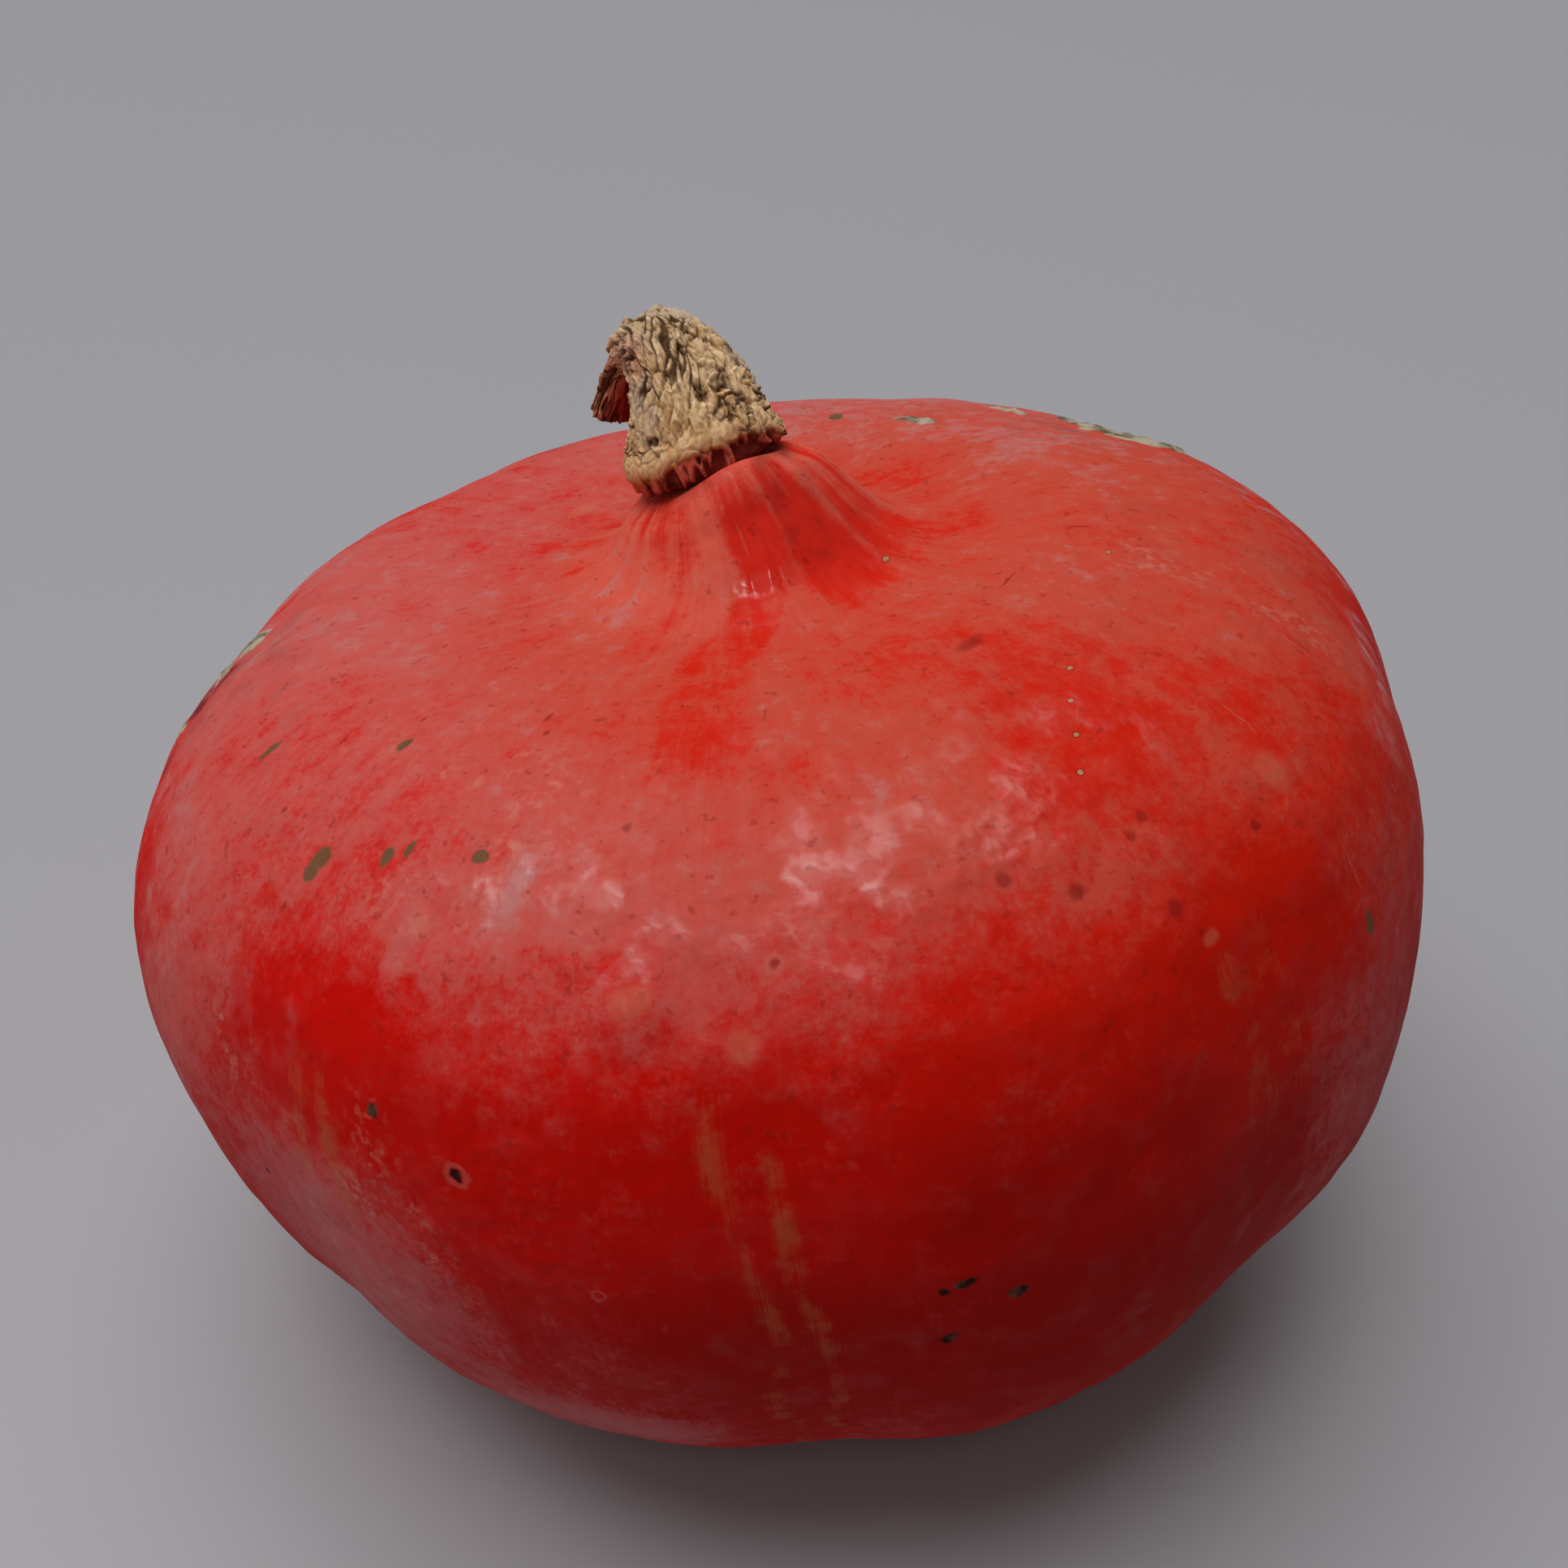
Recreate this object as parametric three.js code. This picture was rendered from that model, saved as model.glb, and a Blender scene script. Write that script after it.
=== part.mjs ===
// A red kuri squash: a broad, flat-shouldered winter squash with a short flared neck and its dry, corky
// stem, which rises from a collar on the neck, folds over at the top and hangs down behind.
// Two pieces: the fruit, which grew whole, and the stem. Millimetres, +Z up, the front of the squash
// facing -Y. The origin is the middle of the bounding box, on the surface that the squash rests on.
import * as THREE from "three";

// The fruit, in its own upright frame: radius r from its axis and height z above its blossom end.
const BELLY_RADIUS = 92.5;
const BELLY_HEIGHT = 69.5;
const BASE_RADIUS = 20; // the level ring round the blossom scar
const SHOULDER_RADIUS = 39.5;
const SHOULDER_HEIGHT = 117;
const LOWER_FULLNESS = 2.13; // 2 is an ellipse, more is squarer
const UPPER_FULLNESS = 2.43;
const NECK_TOP_RADIUS = 9.8;
const NECK_TOP_HEIGHT = 128.3;
// How the shoulder dips and then sweeps up to the neck's top, as radius and height.
const NECK_SWEEP = [
  [31.5, 116.4],
  [25.5, 116.6],
  [20.5, 118.4],
  [17, 121.7],
  [13.8, 125.9],
];

// The blossom scar: a shallow dimple in the middle of the underside.
const DIMPLE_RADIUS = 10;
const DIMPLE_DEPTH = 4.5;

// Ribs: shallow grooves that run from the neck to the blossom end, at these bearings in degrees, counted
// anticlockwise from +X as seen from above.
const GROOVES = [36, 70, 103, 138, 172, 228, 271, 310, 351];
const GROOVE_DEPTH = 1.6;
const GROOVE_WIDTH = 13; // degrees from the middle of a groove to where it has faded
const RIBBED_FROM = 20; // the ribs come in between these radii
const RIBBED_TO = 74;

// Where the fruit has swollen a little unevenly: bearing in degrees, height and how far out.
const SWELLINGS = [
  [198, 84, 2],
  [292, 30, 1.8],
  [325, 46, 2],
  [25, 100, 1],
];
const SWELLING_SPREAD = 22; // degrees
const SWELLING_RISE = 20;

// The fruit's axis leans to the left, and the neck nods further left and a little back, which sets in
// between two heights of the upright frame.
const LEAN = 7.4; // degrees
const NOD_LEFT = 12;
const NOD_BACK = 5;
const NOD_FROM = 114;
const NOD_TO = 127;
const NOD_PIVOT = 120;

// The underside has grown flat where it lay on the ground.
const GROUND_DEPTH = 6; // how much of the round underside the flat takes
const GROUND_BLEND = 2; // how softly the flat meets the round

// The stem's path from the middle of the neck's top. It leaves the neck squarely, stands up, turns over
// and comes down behind.
const STEM_GAP = 0.3; // what parts it from the neck
const COLLAR_HEIGHT = 2.8; // how far it follows the neck's own direction
const STEM_PATH = [
  [-1.7, 0.9, 5.8],
  [-2.8, 2, 9.4],
  [-4.5, 3.9, 13],
  [-6.9, 6.8, 15.2],
  [-9.2, 9.4, 13.2],
  [-11.2, 11, 8.8],
  [-13, 12, 4.2],
];
// Its outline: distance along the path, half its thickness towards the fold and half its width across it.
const STEM_OUTLINE = [
  [0, 9, 9],
  [0.7, 10.2, 10.2],
  [1.6, 10.9, 10.9],
  [2.8, 11, 11],
  [4.8, 10.3, 10.4],
  [7.5, 9, 9.5],
  [10.5, 7.7, 8.6],
  [13.5, 6.4, 7.8],
  [16.5, 5.2, 7.1],
  [19.5, 4.2, 6.4],
  [23, 3.3, 5.9],
  [27, 2.7, 5.6],
  [30.5, 2.5, 5.6],
  [33.6, 2.5, 5.8],
];
const STEM_RIDGES = 9;
const STEM_RIDGE_HEIGHT = 0.35;

// How finely the surfaces are cut.
const FRUIT_SIDES = 72;
const ARC_STEPS = 16;
const NECK_STEPS = 11;
const DIMPLE_STEPS = 4;
const STEM_SIDES = 36;
const STEM_STEPS = 36;

const RAD = Math.PI / 180;
const X_AXIS = new THREE.Vector3(1, 0, 0);
const Y_AXIS = new THREE.Vector3(0, 1, 0);
const Z_AXIS = new THREE.Vector3(0, 0, 1);
const { smoothstep, lerp, clamp, euclideanModulo } = THREE.MathUtils;

// A quarter of a superellipse that leaves one point level and comes to the other upright.
const quarter = (from, to, fullness) =>
  Array.from({ length: ARC_STEPS }, (_, i) => {
    const turn = ((Math.PI / 2) * (i + 1)) / ARC_STEPS;
    return new THREE.Vector2(
      lerp(from.x, to.x, Math.sin(turn) ** (2 / fullness)),
      lerp(to.y, from.y, Math.cos(turn) ** (2 / fullness)),
    );
  });

// The fruit's outline, from the blossom end up to the middle of the neck's top.
function fruitOutline() {
  const dimple = Array.from({ length: DIMPLE_STEPS + 1 }, (_, i) => {
    const r = (BASE_RADIUS * i) / DIMPLE_STEPS;
    return new THREE.Vector2(r, DIMPLE_DEPTH * (1 - smoothstep(r, 0, DIMPLE_RADIUS)));
  });
  const belly = new THREE.Vector2(BELLY_RADIUS, BELLY_HEIGHT);
  const shoulder = new THREE.Vector2(SHOULDER_RADIUS, SHOULDER_HEIGHT);
  const sweep = new THREE.SplineCurve([
    shoulder,
    ...NECK_SWEEP.map(([r, z]) => new THREE.Vector2(r, z)),
    new THREE.Vector2(NECK_TOP_RADIUS, NECK_TOP_HEIGHT),
  ]);
  return [
    ...dimple,
    ...quarter(dimple.at(-1), belly, LOWER_FULLNESS),
    ...quarter(shoulder, belly, UPPER_FULLNESS).reverse().slice(1),
    ...sweep.getPoints(NECK_STEPS),
    new THREE.Vector2(0, NECK_TOP_HEIGHT),
  ];
}

// A geometry with every one of its points moved.
function reshaped(geometry, move) {
  const { position } = geometry.attributes;
  const point = new THREE.Vector3();
  for (let i = 0; i < position.count; i++) {
    move(point.fromBufferAttribute(position, i));
    position.setXYZ(i, point.x, point.y, point.z);
  }
  geometry.computeVertexNormals();
  return geometry;
}

// How far two bearings are apart, in degrees.
const apart = (a, b) => Math.abs(euclideanModulo(a - b + 180, 360) - 180);

// How deep the grooves are at a bearing, from 0 to 1.
const groove = (bearing) =>
  Math.max(...GROOVES.map((middle) => 1 - smoothstep(apart(bearing, middle), 0, GROOVE_WIDTH)));

// How far the uneven swellings push the skin out at a bearing and a height.
const swelling = (bearing, z) =>
  SWELLINGS.reduce((sum, [middle, height, out]) => {
    const across = apart(bearing, middle) / SWELLING_SPREAD;
    const along = (z - height) / SWELLING_RISE;
    return sum + out * Math.exp(-(across ** 2) - along ** 2);
  }, 0);

// Moves a point of the plain round fruit in to its grooves and out to its swellings.
function ribbed(point) {
  const r = Math.hypot(point.x, point.y);
  if (r <= RIBBED_FROM) return;
  const bearing = Math.atan2(point.y, point.x) / RAD;
  const out = swelling(bearing, point.z) - GROOVE_DEPTH * groove(bearing);
  const scale = 1 + (smoothstep(r, RIBBED_FROM, RIBBED_TO) * out) / r;
  point.x *= scale;
  point.y *= scale;
}

// Nods a point of the neck, and leans it with the whole fruit.
function leant(point) {
  const nod = smoothstep(point.z, NOD_FROM, NOD_TO);
  point.z -= NOD_PIVOT;
  point.applyAxisAngle(Y_AXIS, -NOD_LEFT * RAD * nod);
  point.applyAxisAngle(X_AXIS, -NOD_BACK * RAD * nod);
  point.z += NOD_PIVOT;
  return point.applyAxisAngle(Y_AXIS, -LEAN * RAD);
}

// Lays a point that reaches below the ground on it, and curves the skin just above softly down to it.
function flattened(point) {
  const above = Math.max(point.z + GROUND_BLEND, 0);
  if (point.z < GROUND_BLEND) point.z = above ** 2 / (4 * GROUND_BLEND);
}

// The stem: a straight rod, one unit thick and long, carried along the path and given its outline.
function stemGeometry(neckAxis) {
  const path = new THREE.CatmullRomCurve3([
    neckAxis.clone().multiplyScalar(STEM_GAP),
    neckAxis.clone().multiplyScalar(COLLAR_HEIGHT / 2),
    neckAxis.clone().multiplyScalar(COLLAR_HEIGHT),
    ...STEM_PATH.map((p) => new THREE.Vector3(...p)),
  ]);
  const length = path.getLength();
  const thickness = new THREE.SplineCurve(STEM_OUTLINE.map(([s, t]) => new THREE.Vector2(s, t)));
  const width = new THREE.SplineCurve(STEM_OUTLINE.map(([s, , w]) => new THREE.Vector2(s, w)));
  const fold = new THREE.Vector3(...STEM_PATH.at(-1)).setZ(0).normalize();
  const across = new THREE.Vector3().crossVectors(Z_AXIS, fold);

  const rod = [new THREE.Vector2(0, 0)];
  for (let i = 0; i <= STEM_STEPS; i++) rod.push(new THREE.Vector2(1, i / STEM_STEPS));
  rod.push(new THREE.Vector2(0, 1));
  const straight = new THREE.LatheGeometry(rod, STEM_SIDES).rotateX(Math.PI / 2);

  return reshaped(straight, (point) => {
    const { x, y } = point;
    const up = clamp(point.z, 0, 1);
    const { x: s, y: halfThickness } = thickness.getPoint(up);
    const halfWidth = width.getPoint(up).y;
    const along = clamp(s / length, 0, 1);
    const tangent = path.getTangentAt(along);
    const side = across.clone().addScaledVector(tangent, -across.dot(tangent)).normalize();
    const towardsFold = new THREE.Vector3().crossVectors(side, tangent);
    const ridge = STEM_RIDGE_HEIGHT * Math.cos(STEM_RIDGES * Math.atan2(y, x));
    point.copy(path.getPointAt(along));
    point.addScaledVector(side, -x * (halfWidth + ridge));
    point.addScaledVector(towardsFold, y * (halfThickness + ridge));
  });
}

const rindMaterial = new THREE.MeshStandardMaterial({ color: 0xb8301c, roughness: 0.4 });
const corkMaterial = new THREE.MeshStandardMaterial({ color: 0x9a7a50, roughness: 0.9 });

const rind = new THREE.LatheGeometry(fruitOutline(), FRUIT_SIDES).rotateX(Math.PI / 2);
reshaped(rind, ribbed);
reshaped(rind, leant);
rind.computeBoundingBox();
const ground = rind.boundingBox.min.z + GROUND_DEPTH;
rind.translate(0, 0, -ground);
reshaped(rind, flattened);

const fruit = new THREE.Mesh(rind, rindMaterial);
fruit.name = "fruit";

// The stem stands on the middle of the neck's top, square to it.
const neckTop = leant(new THREE.Vector3(0, 0, NECK_TOP_HEIGHT));
const neckAxis = neckTop.clone().sub(leant(new THREE.Vector3(0, 0, NECK_TOP_HEIGHT - 1)));
const stem = new THREE.Mesh(stemGeometry(neckAxis.normalize()), corkMaterial);
stem.name = "stem";
stem.position.set(neckTop.x, neckTop.y, neckTop.z - ground);

const squash = new THREE.Group();
squash.add(fruit, stem);

// The middle of the bounding box goes to the origin.
const box = new THREE.Box3().setFromObject(squash, true);
squash.position.set(-(box.min.x + box.max.x) / 2, -(box.min.y + box.max.y) / 2, -box.min.z);

export default squash;
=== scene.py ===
import math

import bpy
import numpy as np
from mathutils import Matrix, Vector, noise


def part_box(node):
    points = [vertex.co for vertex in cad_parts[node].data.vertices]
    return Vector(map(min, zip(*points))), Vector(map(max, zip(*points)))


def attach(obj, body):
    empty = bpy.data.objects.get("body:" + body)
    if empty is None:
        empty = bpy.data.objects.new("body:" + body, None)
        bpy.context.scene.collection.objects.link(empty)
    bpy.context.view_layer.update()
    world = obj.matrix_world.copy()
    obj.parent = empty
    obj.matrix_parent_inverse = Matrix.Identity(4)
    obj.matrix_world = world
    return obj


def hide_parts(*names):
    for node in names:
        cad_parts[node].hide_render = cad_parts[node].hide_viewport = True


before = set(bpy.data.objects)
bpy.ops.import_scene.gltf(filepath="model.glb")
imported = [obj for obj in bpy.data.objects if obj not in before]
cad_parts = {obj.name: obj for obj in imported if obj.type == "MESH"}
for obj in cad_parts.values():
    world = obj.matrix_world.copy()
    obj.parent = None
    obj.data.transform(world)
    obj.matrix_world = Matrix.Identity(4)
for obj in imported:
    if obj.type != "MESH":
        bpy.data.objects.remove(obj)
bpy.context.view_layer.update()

# ---------------------------------------------------------------------------------------------------
# The camera stands in front of the squash and looks down on it. It is aimed at the middle of the
# fruit's belly and then tipped up a little, so that the squash sits low in its view.
# ---------------------------------------------------------------------------------------------------
BELLY_MIDDLE = Vector((0.0007, -0.0006, 0.0663))
CAMERA_DISTANCE = 0.2448
CAMERA_ELEVATION = math.radians(35)
CAMERA_TIPPED_UP = math.radians(1.434)
CAMERA_TURNED = math.radians(-0.074)
CAMERA_FILM = 36
CAMERA_LENS = 36.1

camera = bpy.data.objects.new("camera", bpy.data.cameras.new("camera"))
camera.data.sensor_width = CAMERA_FILM
camera.data.lens = CAMERA_LENS
camera.data.clip_start = 0.01
camera.location = BELLY_MIDDLE + CAMERA_DISTANCE * Vector(
    (0, -math.cos(CAMERA_ELEVATION), math.sin(CAMERA_ELEVATION))
)
camera.rotation_euler = (math.pi / 2 - CAMERA_ELEVATION + CAMERA_TIPPED_UP, 0, CAMERA_TURNED)
bpy.context.scene.collection.objects.link(camera)
bpy.context.scene.camera = camera
bpy.context.scene.view_settings.view_transform = "Standard"

# ---------------------------------------------------------------------------------------------------
# The fruit: one hollow berry that grew whole, with a hard, waxy red rind, shallow ribs and a short
# flared neck. Its surface is laid out by bearing, in degrees round its axis, and by how far down the
# skin a point lies from the rim of the neck, in millimetres, as a tape would measure it.
# ---------------------------------------------------------------------------------------------------
MM = 0.001
BELLY_RADIUS = 92.5
BELLY_HEIGHT = 69.5
BASE_RADIUS = 20
SHOULDER_RADIUS = 39.5
SHOULDER_HEIGHT = 117
LOWER_FULLNESS = 2.13
UPPER_FULLNESS = 2.43
NECK_TOP = (9.8, 128.3)
NECK_SWEEP = [(13.8, 125.9), (17, 121.7), (20.5, 118.4), (25.5, 116.6), (31.5, 116.4)]
DIMPLE_RADIUS = 10
DIMPLE_DEPTH = 4.5

GROOVES = [36, 70, 103, 138, 172, 228, 271, 310, 351]
GROOVE_DEPTH = 1.6
GROOVE_WIDTH = 13
RIBBED_FROM = 20
RIBBED_TO = 74
SWELLINGS = [(198, 84, 2), (292, 30, 1.8), (325, 46, 2), (25, 100, 1)]
SWELLING_SPREAD = 22
SWELLING_RISE = 20

LEAN = math.radians(7.4)
NOD_LEFT = math.radians(12)
NOD_BACK = math.radians(5)
NOD_FROM = 114
NOD_TO = 127
NOD_PIVOT = 120
GROUND_DEPTH = 6
GROUND_BLEND = 2

FRUIT_SIDES = 440
NECK_ROWS = 74
NECK_DOWN = 42
BODY_ROWS = 142


def smoothstep(value, low, high):
    """0 up to low, 1 from high on, and smooth between."""
    share = np.clip((value - low) / (high - low), 0, 1)
    return share * share * (3 - 2 * share)


def curve_through(points, steps, slack=0):
    """A smooth line through a few points, with steps pieces between each two. With slack at 0.5, it
    swings out less where the points are unevenly spaced."""
    points = np.array(points, float)
    ends = 2 * points[0] - points[1], 2 * points[-1] - points[-2]
    knots = np.vstack([ends[0], points, ends[1]])
    t = np.arange(steps)[:, None] / steps
    pieces = []
    for before, start, end, after in zip(knots, knots[1:], knots[2:], knots[3:]):
        gaps = [np.linalg.norm(b - a) ** slack for a, b in ((before, start), (start, end), (end, after))]
        middle = (end - start) / gaps[1]
        leave = (start - before) / gaps[0] - (end - before) / (gaps[0] + gaps[1]) + middle
        arrive = middle - (after - start) / (gaps[1] + gaps[2]) + (after - end) / gaps[2]
        leave, arrive = leave * gaps[1], arrive * gaps[1]
        pieces.append(
            start
            + leave * t
            + (3 * (end - start) - 2 * leave - arrive) * t**2
            + (2 * (start - end) + leave + arrive) * t**3
        )
    return np.vstack([*pieces, points[-1:]])


def quarter(start, end, fullness):
    """A quarter of a superellipse, level at its start and upright at its end."""
    turn = np.linspace(0, math.pi / 2, 300)
    r = start[0] + (end[0] - start[0]) * np.sin(turn) ** (2 / fullness)
    z = end[1] + (start[1] - end[1]) * np.cos(turn) ** (2 / fullness)
    return np.column_stack([r, z])


def fruit_outline():
    """Radius and height along the skin, from the rim of the neck down to the blossom end."""
    belly = (BELLY_RADIUS, BELLY_HEIGHT)
    shoulder = (SHOULDER_RADIUS, SHOULDER_HEIGHT)
    neck = curve_through([NECK_TOP, *NECK_SWEEP, shoulder], 40)
    upper = quarter(shoulder, belly, UPPER_FULLNESS)
    lower = quarter((BASE_RADIUS, 0), belly, LOWER_FULLNESS)[::-1]
    r = np.linspace(BASE_RADIUS, 0, 60)
    scar = np.column_stack([r, DIMPLE_DEPTH * (1 - smoothstep(r, 0, DIMPLE_RADIUS))])
    return np.vstack([neck, upper[1:], lower[1:], scar[1:]])


OUTLINE = fruit_outline()
DOWN_OUTLINE = np.append(0, np.cumsum(np.hypot(*np.diff(OUTLINE, axis=0).T)))
BLOSSOM_END = DOWN_OUTLINE[-1]


def apart(a, b):
    """How many degrees lie between two bearings, the shorter way round."""
    return np.abs((a - b + 180) % 360 - 180)


def upright_skin(bearing, down):
    """Points of the ribbed fruit, before it leans, for arrays of bearing and down."""
    r = np.interp(down, DOWN_OUTLINE, OUTLINE[:, 0])
    z = np.interp(down, DOWN_OUTLINE, OUTLINE[:, 1])
    groove = np.max([1 - smoothstep(apart(bearing, g), 0, GROOVE_WIDTH) for g in GROOVES], axis=0)
    push = -GROOVE_DEPTH * groove
    for middle, height, out in SWELLINGS:
        across = apart(bearing, middle) / SWELLING_SPREAD
        push = push + out * np.exp(-(across**2) - ((z - height) / SWELLING_RISE) ** 2)
    r = r + smoothstep(r, RIBBED_FROM, RIBBED_TO) * push
    turn = np.radians(bearing)
    return np.stack([r * np.cos(turn), r * np.sin(turn), z], axis=-1)


def turned(a, b, angle):
    """Two coordinates, turned by an angle in their plane."""
    return a * np.cos(angle) - b * np.sin(angle), a * np.sin(angle) + b * np.cos(angle)


def leant(points):
    """Nods the neck, and leans the whole fruit to the left."""
    x, y, z = np.moveaxis(points, -1, 0)
    nod = smoothstep(z, NOD_FROM, NOD_TO)
    z, x = turned(z - NOD_PIVOT, x, -NOD_LEFT * nod)
    y, z = turned(y, z, -NOD_BACK * nod)
    z, x = turned(z + NOD_PIVOT, x, -LEAN)
    return np.stack([x, y, z], axis=-1)


def normals_of(grid):
    """Which way the skin faces at each point of a grid of rows down and sides round."""
    round_it = np.roll(grid, -1, axis=1) - np.roll(grid, 1, axis=1)
    down_it = np.gradient(grid, axis=0)
    facing = np.cross(down_it, round_it)
    return facing / np.maximum(np.linalg.norm(facing, axis=-1, keepdims=True), 1e-9)


def noise_on(points, seed=0):
    """Smooth noise from about -1 to 1 at each point of an array."""
    flat = points.reshape(-1, 3) + 31.7 * seed
    return np.array([noise.noise(p) for p in flat.tolist()]).reshape(points.shape[:-1])


def skin_mesh(name, grid):
    """A closed skin over rows of points, each end drawn together in its own middle point."""
    rows, sides = grid.shape[:2]
    points = np.vstack([grid.reshape(-1, 3), grid[0].mean(axis=0), grid[-1].mean(axis=0)])
    at = np.arange(rows * sides).reshape(rows, sides)
    after = np.roll(at, -1, axis=1)
    quads = np.stack([at[:-1], at[1:], after[1:], after[:-1]], axis=-1).reshape(-1, 4)
    first = [(rows * sides, a, b) for a, b in zip(at[0].tolist(), after[0].tolist())]
    last = [(rows * sides + 1, b, a) for a, b in zip(at[-1].tolist(), after[-1].tolist())]
    mesh = bpy.data.meshes.new(name)
    mesh.from_pydata(points.tolist(), [], quads.tolist() + first + last)
    mesh.validate()
    mesh.shade_smooth()
    thing = bpy.data.objects.new(name, mesh)
    bpy.context.scene.collection.objects.link(thing)
    return thing


def keep_values(thing, name, values):
    """Keeps a number or a vector at each point of a skin, for its material to read."""
    vector = values.ndim == 3
    flat = values.reshape(-1, 3) if vector else values.reshape(-1)
    rows = values.shape[1]
    flat = np.concatenate([flat, flat[:rows].mean(axis=0)[None], flat[-rows:].mean(axis=0)[None]])
    kept = thing.data.attributes.new(name, "FLOAT_VECTOR" if vector else "FLOAT", "POINT")
    kept.data.foreach_set("vector" if vector else "value", flat.astype(np.float32).ravel())


down_rows = np.concatenate(
    [
        np.linspace(0.05, NECK_DOWN, NECK_ROWS, endpoint=False),
        np.linspace(NECK_DOWN, BLOSSOM_END - 0.3, BODY_ROWS),
    ]
)
bearing_sides = np.arange(FRUIT_SIDES) * 360 / FRUIT_SIDES
down, bearing = np.meshgrid(down_rows, bearing_sides, indexing="ij")
smooth_skin = upright_skin(bearing, down)
turn = np.radians(bearing)
ring = np.stack([np.cos(turn), np.sin(turn), 0 * turn], axis=-1)


def patch(middle, away, across, along, soft=0.6):
    """A soft-edged patch round a bearing and a distance down, with its half widths in millimetres."""
    r = np.maximum(np.interp(down, DOWN_OUTLINE, OUTLINE[:, 0]), 1)
    sideways = np.radians(apart(bearing, middle)) * r / across
    lengthways = (down - away) / along
    return 1 - smoothstep(np.hypot(sideways, lengthways), 1 - soft, 1 + soft)


def clouds(points, size, seed, layers=3):
    """Cloudy noise from about -1 to 1, in lumps of this size in millimetres and smaller ones on them."""
    return sum(noise_on(points * 2**i / size, seed + i) / 2**i for i in range(layers))


rolled_out = BELLY_RADIUS * ring + [0, 0, 1] * down[..., None]

# Low blisters in the skin: bearing, distance down, half width and rise in millimetres.
BLISTERS = [
    (262, 79, 4.5, 0.5),
    (257, 73, 3, 0.25),
    (233, 88, 4, 0.3),
    (288, 68, 5, 0.3),
    (240, 57, 4, 0.25),
]

# Corky crusts where the skin once split and healed: bearing, distance down, half widths.
CRUSTS = [
    (31, 63, 7, 4),
    (25, 66, 4.5, 4),
    (37, 62.5, 4.5, 2.8),
    (46, 57, 3.5, 1.2),
    (57.5, 41.5, 3, 1.2),
    (53, 41.5, 3, 1.0),
    (180, 67.5, 3, 2.8),
    (183.5, 71, 2.4, 1.8),
    (187, 79, 1.5, 1.5),
]
crust = np.max([patch(*place, 0.4) for place in CRUSTS], axis=0)
crust = crust * (0.8 + 0.5 * clouds(smooth_skin, 3.5, 71))

# The neck's fibres: folds and finer threads that run down and spread out on the shoulder.
twist = ring + 0.05 * noise_on(ring * 2 + [0, 0, 1] * down[..., None] / 20, 8)[..., None]
folds = noise_on(twist * 7 + [0, 0, 1] * down[..., None] / 34, 3)
threads = noise_on(twist * 19 + [0, 0, 1] * down[..., None] / 22, 4)
on_neck = smoothstep(down, 0, 3) * (1 - smoothstep(down, 12, 34))

# At the front the neck's flesh rises to meet the collar.
COLLAR_RISE = 3.3
COLLAR_RISE_BEARING = 292
COLLAR_RISE_SPREAD = 40
rise_share = np.exp(-((apart(bearing, COLLAR_RISE_BEARING) / COLLAR_RISE_SPREAD) ** 2))
rise_to_collar = COLLAR_RISE * rise_share * (1 - smoothstep(down, 0, 7))

# How high the other relief of the skin is, in millimetres.
WAVES = 0.35
DENTS = 0.16
FOLDS = 0.42
THREADS = 0.14
CRUST_HEIGHT = 0.55
CRUST_ROUGHNESS = 0.5


def relief():
    """How far the skin stands out from the smooth fruit, in millimetres."""
    slow = WAVES * noise_on(smooth_skin / 42, 1)
    dents = DENTS * noise_on(smooth_skin / 13, 2) + DENTS * noise_on(smooth_skin / 4.2, 5)
    for middle, away, size, rise in BLISTERS:
        slow = slow + rise * patch(middle, away, size, size * 0.8)
    rough = crust * (CRUST_HEIGHT + CRUST_ROUGHNESS * noise_on(smooth_skin / 2.2, 9))
    fibres = on_neck * (FOLDS * folds + THREADS * threads) + rise_to_collar
    return slow * smoothstep(down, 10, 40) + dents * smoothstep(down, 4, 26) + fibres + rough


skin = smooth_skin + relief()[..., None] * normals_of(smooth_skin)
lowest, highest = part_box("fruit")
smooth_leant = leant(smooth_skin)
offset = (
    (lowest.x + highest.x) / 2 / MM - (smooth_leant[..., 0].max() + smooth_leant[..., 0].min()) / 2,
    (lowest.y + highest.y) / 2 / MM - (smooth_leant[..., 1].max() + smooth_leant[..., 1].min()) / 2,
    -(smooth_leant[..., 2].min() + GROUND_DEPTH),
)
placed = leant(skin) + offset
low = placed[..., 2] < GROUND_BLEND
placed[low, 2] = np.maximum(placed[low, 2] + GROUND_BLEND, 0) ** 2 / (4 * GROUND_BLEND)


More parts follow.
